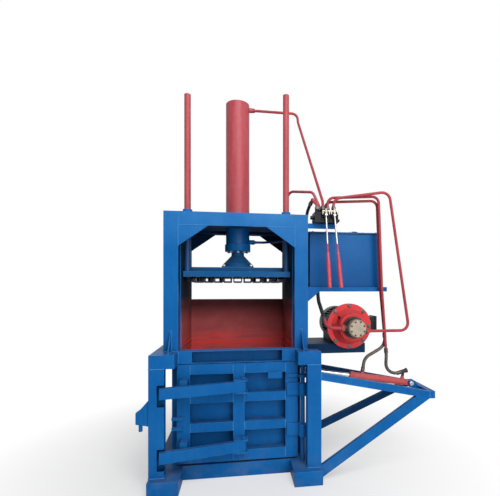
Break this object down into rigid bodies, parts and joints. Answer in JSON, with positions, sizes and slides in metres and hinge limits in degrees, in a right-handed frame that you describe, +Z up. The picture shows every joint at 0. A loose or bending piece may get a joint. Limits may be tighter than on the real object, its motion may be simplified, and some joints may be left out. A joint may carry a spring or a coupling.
{
  "type": "vertical baler",
  "caption": "Upright hydraulic baler: welded press frame over a bale box with a swinging door, ram with platen, tank, valve levers, motor and pump at the side.",
  "frame": {"origin": "on the floor below the axis of the press cylinder", "axes": "+X to the operator's right, +Y to the rear, +Z up along the press cylinder"},
  "size_m": [2.53, 1.475, 3.447],
  "materials": {
    "blue_paint": "semi-gloss paint",
    "red_paint": "semi-gloss paint",
    "chrome_rod": "polished",
    "black_paint": "satin paint",
    "valve_iron": "painted casting",
    "pump_metal": "machined",
    "hose_rubber": "matt",
    "red_grip": "matt",
    "steel": "machined",
    "black_plastic": "matt"
  },
  "bodies": {
    "frame": {"base_beams": "blue_paint", "lock_column": "blue_paint", "columns": "blue_paint", "collar_beams": "blue_paint", "lintels": "blue_paint", "chamber_floor": "red_paint", "side_walls": "red_paint", "rear_wall": "red_paint", "wall_stiffeners": "blue_paint", "posts": "blue_paint", "top_beams": "blue_paint", "gussets": "blue_paint", "deck_plate": "blue_paint", "guide_bushes": "blue_paint", "press_barrel": "red_paint", "cylinder_gland": "blue_paint", "hinge_rod": "red_paint", "side_lug": "blue_paint", "wing_beams": "blue_paint", "wing_braces": "blue_paint", "clevis_bracket": "blue_paint", "door_barrel": "red_paint", "tank_shelf": "blue_paint", "oil_tank": "blue_paint", "tank_lid": "blue_paint", "valve_bracket": "blue_paint", "valve_body": "valve_iron", "motor_base": "blue_paint", "motor_body": "black_paint", "fan_cover": "black_paint", "terminal_box": "black_paint", "bell_housing": "red_paint", "pump": "pump_metal", "press_top_pipe": "red_paint", "press_low_pipe": "red_paint", "door_pipes": "red_paint", "pump_pipe": "red_paint", "return_hose": "hose_rubber", "suction_hose": "hose_rubber", "cap_hose": "hose_rubber", "rod_hose": "hose_rubber"},
    "ram": {"press_rod": "chrome_rod", "rod_flange": "blue_paint", "platen": "blue_paint", "platen_channels": "blue_paint", "guide_rods": "red_paint"},
    "door": {"door_panel": "blue_paint", "door_knuckles": "blue_paint", "arm_brackets": "blue_paint", "door_crank": "blue_paint"},
    "upper_lock": {"upper_arm": "blue_paint"},
    "lower_lock": {"lower_arm": "blue_paint"},
    "press_handle": {"press_lever": "chrome_rod", "press_grip": "red_grip"},
    "door_handle": {"door_lever": "chrome_rod", "door_grip": "red_grip"},
    "door_piston": {"door_rod": "chrome_rod"},
    "rotor": {"motor_shaft": "steel", "shaft_coupling": "steel", "cooling_fan": "black_plastic"}
  },
  "joints": [
    {"name": "ram_slide", "type": "slide", "parent": "frame", "child": "ram", "axis": [0, 0, -1], "range_m": [0, 0.98]},
    {"name": "door_hinge", "type": "hinge", "parent": "frame", "child": "door", "pos_m": [0.566, -0.49, 0.55], "axis": [0, 0, 1], "range_deg": [0, 95]},
    {"name": "upper_lock_pivot", "type": "hinge", "parent": "door", "child": "upper_lock", "pos_m": [0.05, -0.508, 0.793], "axis": [0, 0, 1], "range_deg": [0, 80]},
    {"name": "lower_lock_pivot", "type": "hinge", "parent": "door", "child": "lower_lock", "pos_m": [0.05, -0.508, 0.285], "axis": [0, 0, 1], "range_deg": [0, 80]},
    {"name": "press_handle_tilt", "type": "hinge", "parent": "frame", "child": "press_handle", "pos_m": [0.763, -0.549, 2.271], "axis": [1, 0, 0], "range_deg": [-10, 10], "stiffness_Nm_per_rad": 30},
    {"name": "door_handle_tilt", "type": "hinge", "parent": "frame", "child": "door_handle", "pos_m": [0.839, -0.549, 2.271], "axis": [1, 0, 0], "range_deg": [-10, 10], "stiffness_Nm_per_rad": 30},
    {"name": "door_piston_slide", "type": "slide", "parent": "frame", "child": "door_piston", "axis": [-0.9877, 0, 0.1564], "range_m": [0, 0.142]},
    {"name": "rotor_spin", "type": "hinge", "parent": "frame", "child": "rotor", "pos_m": [0.98, 0, 1.295], "axis": [0, 1, 0], "continuous": true}
  ],
  "couplings": [
    {"joint": "door_piston_slide", "follows": "door_hinge", "m_per_rad": 0.0855}
  ]
}
